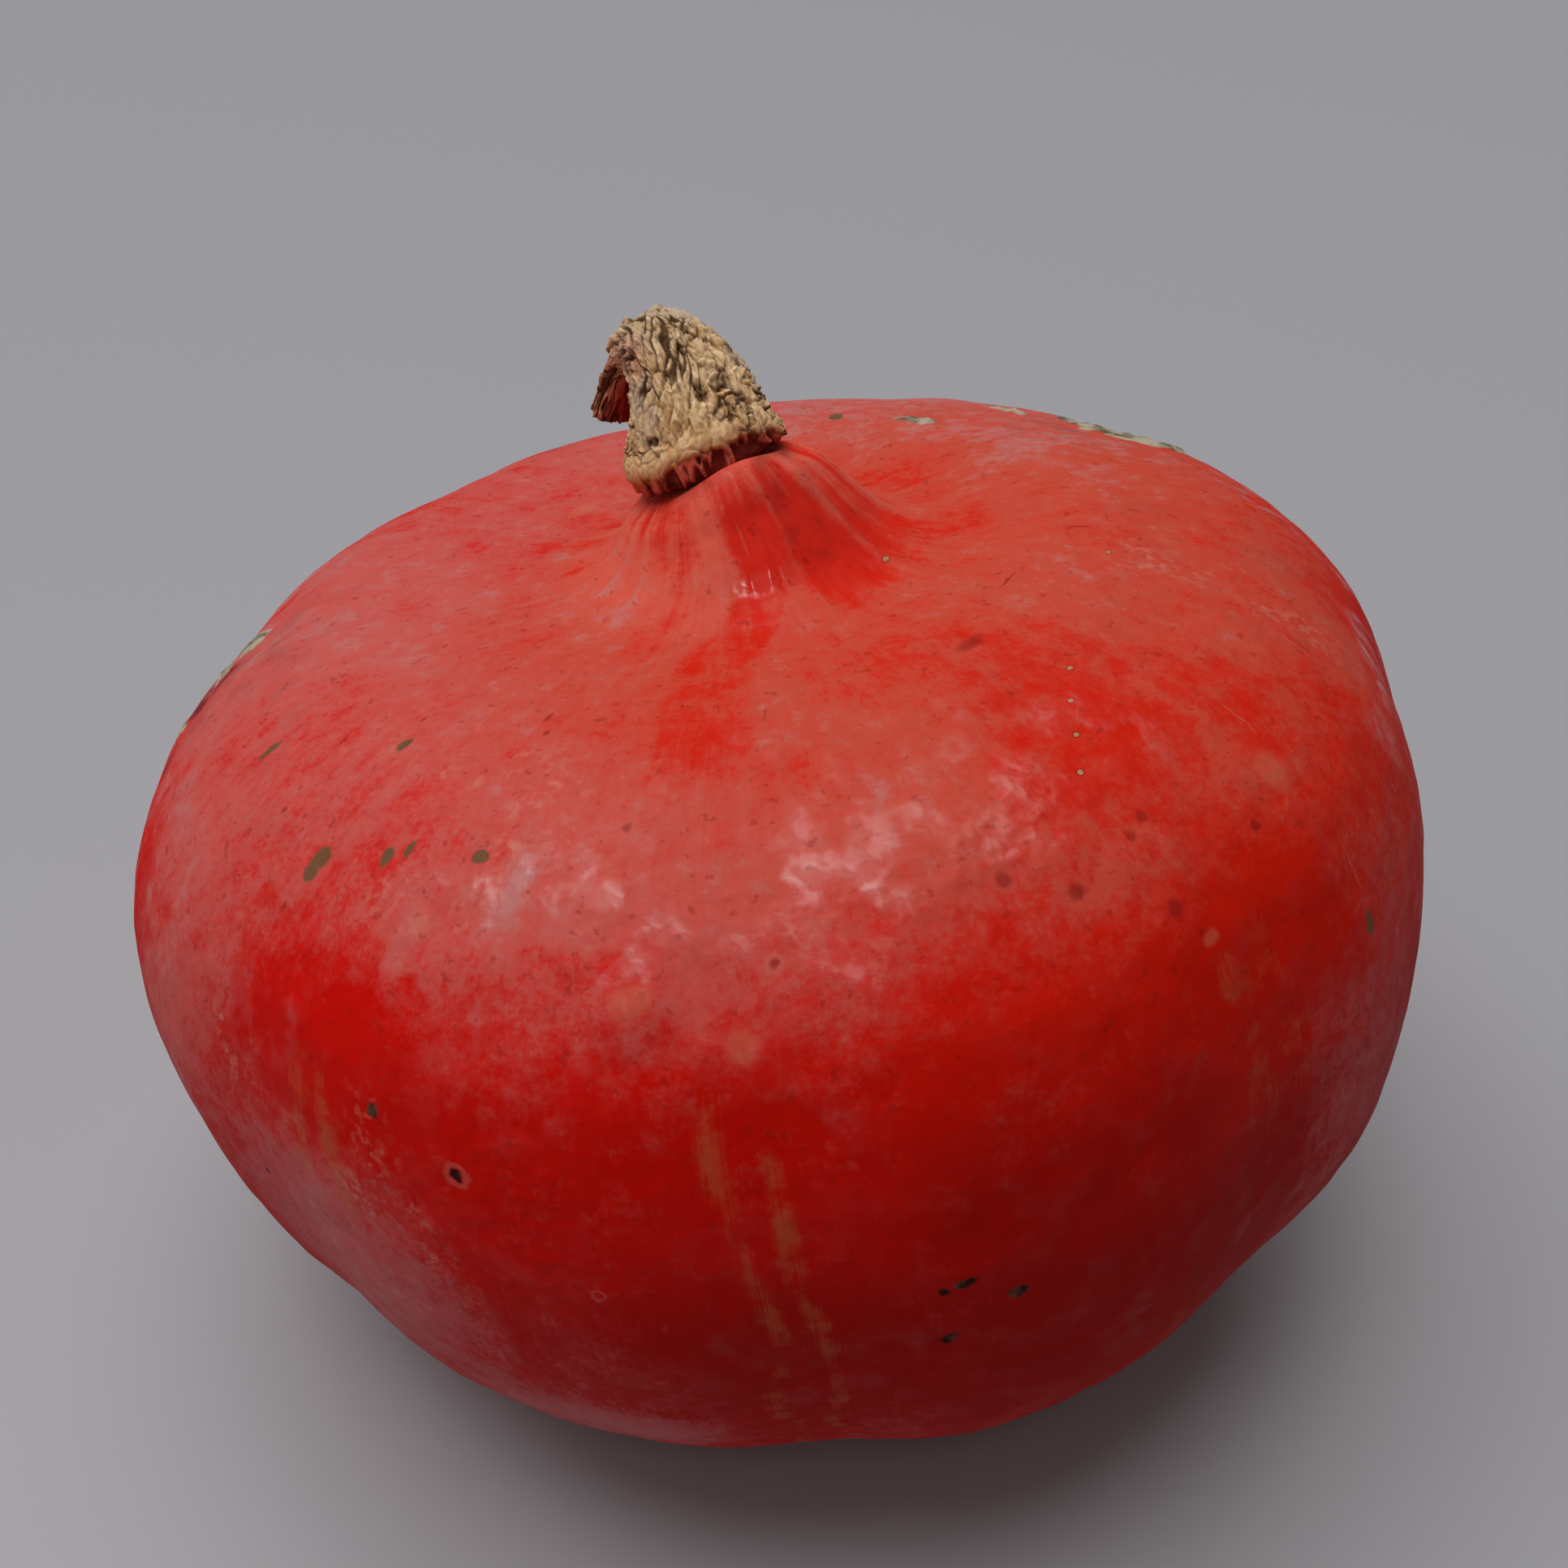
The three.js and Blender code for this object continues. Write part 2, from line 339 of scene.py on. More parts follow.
class Wire:
    """One output in a material. The usual signs join wires and numbers: each adds the node that it
    stands for."""

    tree = None

    def __init__(self, socket):
        self.socket = socket

    @staticmethod
    def node(kind, settings=None, sockets=None, output=0):
        """Adds a node, given its settings and then the value or wire of each socket, by name or number."""
        made = Wire.tree.nodes.new("ShaderNode" + kind)
        for name, value in (settings or {}).items():
            setattr(made, name, value)
        for name, value in (sockets or {}).items():
            if isinstance(value, Wire):
                Wire.tree.links.new(value.socket, made.inputs[name])
            else:
                made.inputs[name].default_value = value
        return Wire(made.outputs[output]) if made.outputs else None

    @staticmethod
    def sum(operation, first, second):
        """Math on numbers, or Vector Math as soon as either side is a vector or a colour."""
        wires = [v for v in (first, second) if isinstance(v, Wire)]
        if not any(wire.socket.type in ("VECTOR", "RGBA") for wire in wires):
            return Wire.node("Math", {"operation": operation}, {0: first, 1: second})
        first, second = ((v, v, v) if isinstance(v, (int, float)) else v for v in (first, second))
        return Wire.node("VectorMath", {"operation": operation}, {0: first, 1: second})

    def __add__(self, other):
        return Wire.sum("ADD", self, other)

    def __radd__(self, other):
        return Wire.sum("ADD", other, self)

    def __sub__(self, other):
        return Wire.sum("SUBTRACT", self, other)

    def __rsub__(self, other):
        return Wire.sum("SUBTRACT", other, self)

    def __mul__(self, other):
        return Wire.sum("MULTIPLY", self, other)

    def __rmul__(self, other):
        return Wire.sum("MULTIPLY", other, self)


def smaller(first, second):
    return Wire.sum("MINIMUM", first, second)


def larger(first, second):
    return Wire.sum("MAXIMUM", first, second)


def kept(name, vector=False):
    """What a skin keeps at each of its points under this name."""
    return Wire.node("Attribute", {"attribute_name": name}, output=1 if vector else 2)


def cloud(where, scale, detail=3, roughness=0.5, distortion=0):
    """Soft noise from 0 to 1, about 1 / scale metres across."""
    return Wire.node(
        "TexNoise",
        sockets={
            "Vector": where,
            "Scale": scale,
            "Detail": detail,
            "Roughness": roughness,
            "Distortion": distortion,
        },
    )


def part_of(vector, axis):
    """One part of a vector or colour: 0, 1 or 2."""
    return Wire.node("SeparateXYZ", sockets={"Vector": vector}, output=axis)


def ramp(value, low, high):
    """0 up to low, 1 from high on and smooth between. With low above high it falls instead."""
    sockets = {"Value": value, "From Min": low, "From Max": high}
    return Wire.node("MapRange", {"interpolation_type": "SMOOTHSTEP"}, sockets)


def coloured(share, first, second):
    """The first colour where share is 0, and the second where it is 1."""
    first, second = ((*c, 1) if isinstance(c, tuple) else c for c in (first, second))
    return Wire.node("Mix", {"data_type": "RGBA"}, {0: share, 6: first, 7: second}, output=2)


def finish_of(thing, name):
    """A new empty material on a piece, which the wires that follow belong to."""
    material = bpy.data.materials.new(name)
    material.use_nodes = True
    material.node_tree.nodes.clear()
    thing.data.materials.clear()
    thing.data.materials.append(material)
    Wire.tree = material.node_tree


def relief_of(height):
    """The normal of a surface with fine relief of this height in millimetres."""
    return Wire.node("Bump", sockets={"Height": height, "Distance": MM, "Strength": 1})


def coat_of(colour, roughness, normal=None, gleam=0.5):
    """A plain opaque finish."""
    sockets = {"Base Color": colour, "Roughness": roughness, "Specular IOR Level": gleam}
    if normal:
        sockets["Normal"] = normal
    return Wire.node("BsdfPrincipled", sockets=sockets)


def painted(surface):
    """Puts this finish on the piece."""
    Wire.node("OutputMaterial", sockets={"Surface": surface})


fruit = skin_mesh("fruit_rind", placed * MM)
keep_values(fruit, "place", smooth_skin * MM)
keep_values(fruit, "run", ring + [0, 0, MM] * down[..., None])

# The grey wax bloom on the skin: how much there is from the neck down, and where there is more of it,
# or less because it has been rubbed off. Each patch has its bearing, its distance down, its half widths
# across and along, and how much it adds.
BLOOM_DOWN = [
    (0, 0.6),
    (22, 0.72),
    (56, 0.72),
    (70, 0.62),
    (80, 0.36),
    (88, 0.04),
    (118, -0.02),
    (136, 0.12),
    (150, 0.3),
    (250, 0.5),
]
BLOOM_PATCHES = [
    (284, 9, 2.6, 5, -0.9),
    (300, 10, 5, 7, -0.5),
    (267, 40, 7, 12, -0.1),
    (215, 14, 15, 10, 0.25),
    (62, 50, 48, 17, 0.5),
    (192, 62, 28, 30, 0.22),
    (232, 126, 14, 16, 0.55),
    (251, 146, 16, 8, 0.5),
    (344, 104, 9, 28, 0.45),
    (318, 118, 9, 18, 0.25),
    (302, 46, 12, 10, -0.1),
    (308, 60, 12, 12, -0.3),
    (288, 62, 12, 11, 0.18),
    (270, 68, 14, 6, 0.15),
    (252, 83, 10, 7, 0.12),
    # The next two patches are thick wax that is also a painted reflection of the window, grey on the skin.
    (251, 66, 2.2, 6, 0.55),
    (257.5, 69, 3.5, 3.5, 0.45),
    (242, 74, 1.5, 5, 0.3),
    (221, 84, 5, 10, 0.2),
    (236, 88, 12, 10, -0.3),
    (212, 92, 12, 18, 0.45),
    (238, 114, 13, 15, 0.6),
    (268, 84, 17, 8, 0.1),
    (219, 74, 7, 12, -0.12),
    (207, 60, 8, 12, -0.2),
    (328, 13, 8, 7, -0.45),
    (270, 36, 8, 6, 0.15),
    (328, 76, 12, 10, -0.3),
    (310, 90, 8, 8, -0.2),
    (222, 108, 16, 20, 0.45),
    (248, 130, 18, 14, 0.35),
    (256, 144, 14, 6, 0.3),
    (330, 92, 14, 20, 0.35),
    (322, 124, 14, 20, 0.3),
]


def between(left, right, soft):
    """A band of skin between two lines down it, each given by points of bearing and distance down."""
    left_edge, right_edge = (
        np.interp(down, [away for _, away in line], [middle for middle, _ in line]) for line in (left, right)
    )
    r = np.interp(down, DOWN_OUTLINE, OUTLINE[:, 0])
    inside = np.minimum(bearing - left_edge, right_edge - bearing) * np.radians(r)
    first, last = max(left[0][1], right[0][1]), min(left[-1][1], right[-1][1])
    ends = smoothstep(down, first - 2, first + 2) * (1 - smoothstep(down, last - 6, last + 6))
    return smoothstep(inside, -soft, soft) * ends


bloom = np.interp(down, *np.array(BLOOM_DOWN).T)
for middle, away, across, along, more in BLOOM_PATCHES:
    bloom = bloom + more * patch(middle, away, across, along)
RUBBED_LEFT = [(271.5, 14), (266, 19), (257.5, 24), (259, 36), (261, 50)]
RUBBED_RIGHT = [(291, 14), (283, 20), (275.5, 25.5), (274, 38), (272.5, 50)]
bloom = bloom - 0.3 * between(RUBBED_LEFT, RUBBED_RIGHT, 0.8)
drift = np.stack([clouds(smooth_skin, 16, seed) for seed in (21, 24, 27)], axis=-1) * 5
upper = 1 - smoothstep(down, 60, 85)
bloom = bloom + on_neck * (0.55 * folds + 0.3 * threads)
lumps = clouds(smooth_skin + drift, 13, 31)
drawn_out = clouds((rolled_out + drift) / [1, 1, 3], 4, 35)
bloom = bloom + (0.18 + 0.12 * upper) * lumps + 0.16 * upper * drawn_out
keep_values(fruit, "bloom", bloom)

# How glossy the skin is, from the neck down. The front of the neck is polished in a few places.
POLISHED = [(281, 13.4, 3.6, 1.5), (289, 7.6, 0.7, 2.6), (291, 4, 1.6, 1.2), (303, 6, 1.2, 2.4)]
polished = np.max([patch(*place, 0.25) for place in POLISHED], axis=0)
GLOSS_DOWN = [(0, 0.1), (36, 0.12), (55, 0.3), (67, 0.8), (79, 0.8), (96, 0.08), (250, 0.05)]
gloss = np.interp(down, *np.array(GLOSS_DOWN).T)
gloss = np.maximum(gloss * (0.8 + 2.4 * clouds(smooth_skin + drift, 9, 41)), 0.9 * polished)
keep_values(fruit, "gloss", np.clip(gloss, 0, 1))
keep_values(fruit, "polished", polished)

# The side that the sun reached is more orange.
sunned = np.maximum(patch(335, 45, 85, 60), patch(267, 32, 16, 26))
sunned = np.maximum(sunned, 1 - smoothstep(down, 14, 30))
keep_values(fruit, "sunned", sunned)

# Pale stripes down the lower half, two strands in each, that drift to one side on their way down. Each
# has its bearing, its strength, and the half width of a strand in degrees.
STRIPES = [
    (33, 0.7, 1.1),
    (68, 0.7, 1.1),
    (104, 0.7, 1.1),
    (140, 0.7, 1.1),
    (175, 0.7, 1.1),
    (207, 0.6, 1.1),
    (235, 0.9, 1.3),
    (269, 1, 0.95),
    (309, 0.5, 1.9),
    (347, 0.55, 1.1),
]
STRANDS_APART = 3.8
STRAND_DRIFT = 0.06
STRAND_WANDER = 1.2
stripes = 0
for middle, share, half_width in STRIPES:
    for side in (-0.5, 0.5):
        strand = middle + side * STRANDS_APART + STRAND_DRIFT * np.minimum(down - 95, 30)
        wander = noise_on(np.stack([down / 9, 0 * down, 0 * down + middle + side], axis=-1))
        strand = strand + STRAND_WANDER * wander
        stripes = np.maximum(stripes, share * np.exp(-((apart(bearing, strand) / half_width) ** 2)))
stripes = stripes * smoothstep(down, 84, 96) * (1 - 0.5 * smoothstep(down, 104, 128))
stripes = stripes * (0.85 + 0.8 * clouds(rolled_out, 14, 61))
keep_values(fruit, "stripes", stripes)

# Deeper red in a patch low at the front, in a band below the middle, and underneath: partly the skin's own
# darker red, partly painted shade where the fruit turns down and away from the light.
deep_red_and_shade = 0.65 * patch(290, 109, 24, 15) * (1 + 0.5 * clouds(smooth_skin, 16, 91))
deep_red_and_shade = np.maximum(deep_red_and_shade, 0.25 * smoothstep(down, 84, 92) * (1 - smoothstep(down, 112, 122)))
deep_red_and_shade = np.maximum(deep_red_and_shade, (0.5 + 0.5 * patch(290, 124, 60, 26)) * smoothstep(down, 98, 122))
keep_values(fruit, "deep_red_and_shade", deep_red_and_shade)
keep_values(fruit, "crust", crust)

# Bruised and scuffed skin is mauve: on the neck near the stem, and round the crusts. Right under the stem
# the skin is a darker mauve all round.
BRUISES = [
    (311, 11.5, 5, 5, 0.35),
    (326, 7, 9, 7, 0.3),
    (39, 49, 7, 3, 0.3),
    (35, 56, 6, 3, 0.3),
    (182, 64, 6, 2.5, 0.4),
    (185, 74, 4.5, 6, 0.85),
    (190, 82, 3, 3.5, 0.6),
    (187, 54, 4, 3, 0.25),
    (186, 66, 16, 16, 0.3),
    (122, 58, 5, 4, 0.4),
]
bruised = np.max([share * patch(*place) for *place, share in BRUISES], axis=0)
# Darker mauve all round, right under the stem.
bruised = bruised + 0.35 * (1 - smoothstep(down, 0.5, 3.5))
keep_values(fruit, "bruised", bruised * (1 + 0.9 * clouds(smooth_skin, 4, 81)))

# Where the skin is pocked all over like fine leather.
POCKED = [
    (287, 66, 15, 7),
    (270, 70, 16, 4),
    (257, 68, 7, 7),
    (243, 60, 18, 9),
    (233, 80, 4, 8),
    (252, 104, 10, 14),
]
keep_values(fruit, "pocked", np.max([patch(*place) for place in POCKED], axis=0))

# Where the wax has flaked, so that pale flecks of it are left. The flecks are partly painted sheen on raised
# points.
FLAKED = [(240, 60, 22, 14), (225, 90, 4, 14), (243, 108, 8, 14), (342, 60, 6, 16)]
flaked = np.max([patch(*place) for place in FLAKED], axis=0)
keep_values(fruit, "flaked", flaked * smoothstep(clouds(smooth_skin, 6, 51), -0.1, 0.5))


def nearest(marks, where):
    """How far it is to the nearest mark, counted so that each mark ends at 1. A mark is its bearing,
    its distance down, and its half widths across and along in millimetres."""
    found = None
    for middle, away, across, along in marks:
        turn = math.radians(middle)
        radius = float(np.interp(away, DOWN_OUTLINE, OUTLINE[:, 0]))
        size = Vector((radius / across, radius / across, 1 / (along * MM)))
        centre = Vector((math.cos(turn), math.sin(turn), away * MM)) * size
        inside = Wire.node("VectorMath", {"operation": "MULTIPLY_ADD"}, {0: where, 1: size, 2: -centre})
        distance = Wire.node("VectorMath", {"operation": "LENGTH"}, {0: inside}, output=1)
        found = smaller(found, distance) if found else distance
    return found


# The spots on the skin, each with its bearing, its distance down, and its half widths across and along.
OLIVE_SPOTS = [
    (228.2, 70.2, 1.3, 1.5),
    (228, 72.2, 1.2, 1.3),
    (236, 66, 0.9, 1.4),
    (238, 64.3, 0.6, 1.1),
    (246, 63, 1.0, 0.9),
    (226, 53, 0.7, 1.2),
    (210, 63, 0.7, 1.6),
    (322, 100, 0.7, 1.9),
    (72, 44, 1.2, 1.6),
]
DARK_SPOTS = [
    (242, 93, 0.8, 0.8),
    (249, 98, 0.7, 0.7),
    (226, 114, 0.4, 0.5),
    (282.4, 115, 1.2, 0.6),
    (281, 115.8, 0.6, 0.6),
    (286, 119, 1.2, 0.9),
    (281, 124, 1.0, 0.7),
]
RED_SPOTS = [
    (218, 56, 0.3, 0.9),
    (224, 48, 0.3, 0.8),
    (242, 41, 0.4, 1.0),
    (244, 44, 0.5, 0.6),
    (227, 77, 0.4, 0.8),
    (220, 67, 0.5, 0.5),
    (260, 58, 0.6, 0.6),
    (306, 73, 0.9, 0.9),
    (315, 81, 0.8, 0.8),
    (304, 74, 0.8, 0.8),
    (292, 72, 1.0, 1.0),
    (297, 76, 1.1, 1.1),
    (304, 83, 1.2, 1.2),
    (273, 76, 0.6, 0.6),
    (308, 42, 2.4, 1.2),
    (327.5, 36, 2.2, 0.2),
    (349, 42, 0.2, 2),
]
RINGED_SPOTS = [(249, 98, 1.4, 1.4), (273, 76, 1.1, 1.1), (258, 112, 0.9, 1.0)]
LENTICELS = [
    (314, 53, 0.5, 0.32),
    (310, 57, 0.45, 0.32),
    (307, 61, 0.45, 0.35),
    (304, 65, 0.45, 0.42),
    (341, 46, 0.5, 0.3),
    (329, 18, 0.7, 0.4),
]
# Pale spots: partly the skin's own pale and orange marks, partly painted glints of shining wax.
PALE_SPOTS_AND_GLINTS = [
    (270, 84, 1.9, 1.9),
    (137.5, 28, 3.2, 1.6),
    (262, 78, 2.4, 1.6),
    (320, 77, 2, 2.6),
    (337, 72, 0.2, 4),
    (322, 70, 0.18, 3),
    (322, 92, 0.18, 4),
    (280, 8, 0.2, 2),
    (306, 88, 1.2, 0.9),
    (243, 72, 1.6, 1.2),
]

# The rind's colours: the skin itself and the wax on it, each also as it is on the sunny side, and its marks;
# some of them carry painted light or shade, as said where each is used.
BARE_SKIN = (0.64, 0.004, 0.001)
BARE_SUNNY_SKIN = (0.66, 0.014, 0.003)
BARE_NECK_WITH_PAINTED_LIGHT = (0.84, 0.032, 0.018)
DEEP_RED_AND_SHADE = (0.30, 0.003, 0.001)
WAX = (0.60, 0.106, 0.090)
WAX_ON_SUNNY_SKIN = (0.60, 0.078, 0.046)
WAX_UNDERNEATH = (0.54, 0.112, 0.118)
WAX_ON_NECK_WITH_PAINTED_LIGHT = (0.93, 0.160, 0.104)
HEAVY_WAX_AND_REFLECTION = (0.50, 0.24, 0.23)
WAX_FLECKS_AND_SHEEN = (0.66, 0.23, 0.17)
STRIPE_TAN = (0.46, 0.12, 0.045)
DARK_PORES = (0.3, 0.01, 0.006)
BRUISE_MAUVE = (0.22, 0.016, 0.018)
SPOT_RING = (0.60, 0.24, 0.19)
SPOT_PALE_AND_GLINT = (0.62, 0.18, 0.10)
SPOT_RED = (0.24, 0.008, 0.006)
SPOT_OLIVE = (0.095, 0.085, 0.035)
SPOT_BLACK = (0.012, 0.006, 0.004)
SPOT_BROWN = (0.09, 0.05, 0.03)
LENTICEL_EDGE = (0.12, 0.012, 0.007)
LENTICEL_CORK = (0.50, 0.24, 0.12)
CRUST_DARK = (0.15, 0.10, 0.06)
CRUST_PALE = (0.46, 0.40, 0.29)

finish_of(fruit, "waxy_rind")
place = kept("place", vector=True)
run = kept("run", vector=True)
down_skin = part_of(run, 2)
fray = Wire.node("TexNoise", sockets={"Vector": place, "Scale": 700, "Detail": 2}, output=1)
shift = (fray - 0.5) * Vector((0.012, 0.012, 0.0012))

# Fine cloudiness, and noise drawn out along the ribs above and below.
fine = cloud(place, 330, 4, 0.62)
unevenness = fine - 0.5
speckle = cloud(place, 1200, 3, 0.7)
strands = cloud(run * Vector((40, 40, 110)), 1, 3, 0.6)
streaks = cloud(run * Vector((260, 260, 90)), 1, 2, 0.6)
low_threads = cloud(run * Vector((330, 330, 60)), 1, 3, 0.6, 0.6)
upper_half = ramp(down_skin, 0.09, 0.06)
underneath = ramp(down_skin, 0.092, 0.118)
near_neck = ramp(down_skin, 0.024, 0.006)

# The wax: how much of the skin it covers, and where it lies thick. At two patches on the front the thick wax
# is also a painted reflection of the window.
bloomed = kept("bloom") + unevenness + 0.7 * (speckle - 0.5)
bloomed = bloomed + upper_half * (0.4 * (strands - 0.5) + 0.35 * (streaks - 0.5))
bloomed = bloomed + underneath * 0.55 * (low_threads - 0.5)
covered = 0.88 * ramp(bloomed, 0.0, 1.0) + 0.12 * ramp(bloomed, 0.44, 0.54)
heavy_wax_and_reflection = ramp(bloomed + 1.2 * unevenness, 0.9, 1.7)
sunny = kept("sunned")

bare = coloured(sunny, BARE_SKIN, BARE_SUNNY_SKIN)
dusted = coloured(sunny, WAX, WAX_ON_SUNNY_SKIN)
dusted = coloured(0.9 * underneath, dusted, WAX_UNDERNEATH)
skin_colour = coloured(covered, bare, dusted)
# Near the neck the skin is a brighter orange-red: partly its own colour, partly painted light where the stem
# keeps the overhead light off it.
neck_colour_with_painted_light = coloured(covered, BARE_NECK_WITH_PAINTED_LIGHT, WAX_ON_NECK_WITH_PAINTED_LIGHT)
skin_colour = coloured(0.7 * near_neck, skin_colour, neck_colour_with_painted_light)
# Thick wax, pale grey-pink, which also paints the window's reflection at two patches.
skin_colour = coloured(0.55 * heavy_wax_and_reflection, skin_colour, HEAVY_WAX_AND_REFLECTION)
# Painted shade and darker red skin low down, thinner where wax covers it.
deep_red_and_shade_share = 0.85 * kept("deep_red_and_shade") * (1 - 0.7 * covered)
skin_colour = coloured(deep_red_and_shade_share, skin_colour, DEEP_RED_AND_SHADE)

striped = ramp(kept("stripes") + 1.5 * unevenness + 0.8 * (low_threads - 0.5), 0.2, 0.95)
skin_colour = coloured(0.45 * striped, skin_colour, STRIPE_TAN)
# Pale flecks of wax, partly painted sheen.
flecks_and_sheen = kept("flaked") * ramp(part_of(fray, 0), 0.5, 0.66)
skin_colour = coloured(0.5 * flecks_and_sheen, skin_colour, WAX_FLECKS_AND_SHEEN)
pores = ramp(part_of(fray, 1), 0.37, 0.28)
skin_colour = coloured(0.4 * pores, skin_colour, DARK_PORES)
bruise_share = ramp(kept("bruised") + 0.8 * unevenness, 0.1, 1.1)
skin_colour = coloured(bruise_share, skin_colour, BRUISE_MAUVE)

# The spots, from the faintest to the strongest.
ringed = nearest(RINGED_SPOTS, run + shift)
ring_share = ramp(ringed + 1.2 * unevenness, 1.3, 0.8) - ramp(ringed, 0.8, 0.4)
skin_colour = coloured(0.22 * larger(ring_share, 0), skin_colour, SPOT_RING)
# Pale spots and painted glints.
pale_and_glint_share = ramp(nearest(PALE_SPOTS_AND_GLINTS, run + shift) + 1.2 * unevenness, 1.3, 0.6)
skin_colour = coloured(0.32 * pale_and_glint_share, skin_colour, SPOT_PALE_AND_GLINT)
red_share = ramp(nearest(RED_SPOTS, run + shift), 1.3, 0.4)
skin_colour = coloured(0.6 * red_share, skin_colour, SPOT_RED)
olive_share = ramp(nearest(OLIVE_SPOTS, run + shift) + 0.9 * unevenness, 1.2, 0.75)
olive_share = olive_share * (0.75 + 0.5 * (strands - 0.3))
skin_colour = coloured(olive_share, skin_colour, SPOT_OLIVE)
dark_share = ramp(nearest(DARK_SPOTS, run + shift) + 1.3 * unevenness, 1.35, 0.7)
dark_colour = coloured(ramp(fine, 0.45, 0.6), SPOT_BLACK, SPOT_BROWN)
skin_colour = coloured(0.95 * dark_share, skin_colour, dark_colour)
lenticel = nearest(LENTICELS, run)
skin_colour = coloured(0.5 * ramp(lenticel, 1.6, 1.0), skin_colour, LENTICEL_EDGE)
skin_colour = coloured(ramp(lenticel, 1.0, 0.7), skin_colour, LENTICEL_CORK)

crusted = ramp(kept("crust") + 1.2 * unevenness, 0.34, 0.46)
crust_colour = coloured(ramp(fine, 0.35, 0.62), CRUST_DARK, CRUST_PALE)
skin_colour = coloured(crusted, skin_colour, crust_colour)

# Dull skin, and glossier skin that glints in a fine net of raised lines.
pocks = cloud(place, 400, 1.5, 0.5)
netted = cloud(place, 160, 2.5, 0.42)
polish = kept("polished")
bumps = relief_of(0.6 * netted + kept("pocked") * 0.34 * pocks + 0.05 * pocks + 0.03 * speckle)
dull = coat_of(skin_colour, 0.6, bumps, gleam=0.04)
waxed = coat_of(skin_colour, 0.26 - 0.18 * polish, bumps, gleam=0.55)
glinting = ramp(netted, 0.45, 0.58) * (0.3 + 0.7 * ramp(pocks, 0.44, 0.58))
shiny = kept("gloss") * larger(glinting, polish) * (1 - crusted)
painted(Wire.node("MixShader", sockets={0: shiny, 1: dull, 2: waxed}))

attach(fruit, "root")
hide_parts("fruit")

# ---------------------------------------------------------------------------------------------------
# The stem: what is left of the vine's stalk, dried to ridged, cracked cork. It flares to a collar that
# sits on the neck with a dark, ragged underside, and it folds over at the top and hangs down behind.
# ---------------------------------------------------------------------------------------------------
STEM_GAP = 0.3
COLLAR_HEIGHT = 2.8
STEM_PATH = [
    (-1.7, 0.9, 5.8),
    (-2.8, 2, 9.4),
    (-4.5, 3.9, 13),
    (-6.9, 6.8, 15.2),
    (-9.2, 9.4, 13.2),
    (-11.2, 11, 8.8),
    (-13, 12, 4.2),
]
STEM_OUTLINE = [
    (0, 9, 9),
    (0.7, 10.2, 10.2),
    (1.6, 10.9, 10.9),
    (2.8, 11, 11),
    (4.8, 10.3, 10.4),
    (7.5, 9, 9.5),
    (10.5, 7.7, 8.6),
    (13.5, 6.4, 7.8),
    (16.5, 5.2, 7.1),
    (19.5, 4.2, 6.4),
    (23, 3.3, 5.9),
    (27, 2.7, 5.6),
    (30.5, 2.5, 5.6),
    (33.6, 2.5, 5.8),
]
STEM_SIDES = 380
STEM_ROWS = 250


def neck_point(height):
    """Where this height on the fruit's axis is, once the neck has nodded and the fruit leans."""
    return leant(np.array([0.0, 0.0, height]))


neck_top = neck_point(NECK_TOP[1])
neck_axis = neck_top - neck_point(NECK_TOP[1] - 1)
neck_axis /= np.linalg.norm(neck_axis)
stem_knots = [neck_axis * STEM_GAP, neck_axis * COLLAR_HEIGHT / 2, neck_axis * COLLAR_HEIGHT, *STEM_PATH]
stem_path = curve_through(stem_knots, 60, 0.5)
path_length = np.append(0, np.cumsum(np.linalg.norm(np.diff(stem_path, axis=0), axis=1)))
stem_outline = curve_through(STEM_OUTLINE, 30)


def unit(vectors):
    """The same directions, each one long."""
    return vectors / np.maximum(np.linalg.norm(vectors, axis=-1, keepdims=True), 1e-9)


def stem_skin(turn, along):
    """Points of the plain stem: turn round it in radians, along it in millimetres."""
    centre = np.stack([np.interp(along, path_length, stem_path[:, i]) for i in range(3)], axis=-1)
    ahead = np.gradient(stem_path, path_length, axis=0)
    tangent = unit(np.stack([np.interp(along, path_length, ahead[:, i]) for i in range(3)], axis=-1))
    thickness, width = (np.interp(along, stem_outline[:, 0], stem_outline[:, i]) for i in (1, 2))
    fold = unit(np.array([STEM_PATH[-1][0], STEM_PATH[-1][1], 0.0]))
    across = np.cross([0, 0, 1], fold)
    side = unit(across - tangent * (tangent @ across)[..., None])
    towards_fold = np.cross(side, tangent)
    out = -side * (np.cos(turn) * width)[..., None] + towards_fold * (np.sin(turn) * thickness)[..., None]
    return centre + out


stem_length = min(path_length[-1], STEM_OUTLINE[-1][0])
stem_rows = np.linspace(stem_length, 0, STEM_ROWS)
stem_sides = np.arange(STEM_SIDES) * 2 * math.pi / STEM_SIDES
along, around = np.meshgrid(stem_rows, stem_sides, indexing="ij")
plain_stem = stem_skin(around, along)
bark = np.stack([8 * np.cos(around), 8 * np.sin(around), along], axis=-1)


def bark_noise(across, lengthwise, seed):
    """Noise on the stem, in lumps of these widths round it and along it in millimetres."""
    return noise_on(bark / [across, across, lengthwise], seed)


FLAKE_TILT = 2.2


def flakes(points, seed):
    """Cells of cork, each a flake that lies askew: how far each point is from the crack round its
    flake, and how far the flake stands out there."""
    edges, heights = [], []
    for point in (points.reshape(-1, 3) + 17.3 * seed).tolist():
        distances, centres = noise.voronoi(point)
        own = noise.cell_vector(centres[0] * 9.7) - Vector((0.5, 0.5, 0.5))
        tilt = own.dot(Vector(point) - centres[0])
        edges.append(distances[1] - distances[0])
        heights.append(own[0] + FLAKE_TILT * tilt)
    return np.array(edges).reshape(points.shape[:-1]), np.array(heights).reshape(points.shape[:-1])


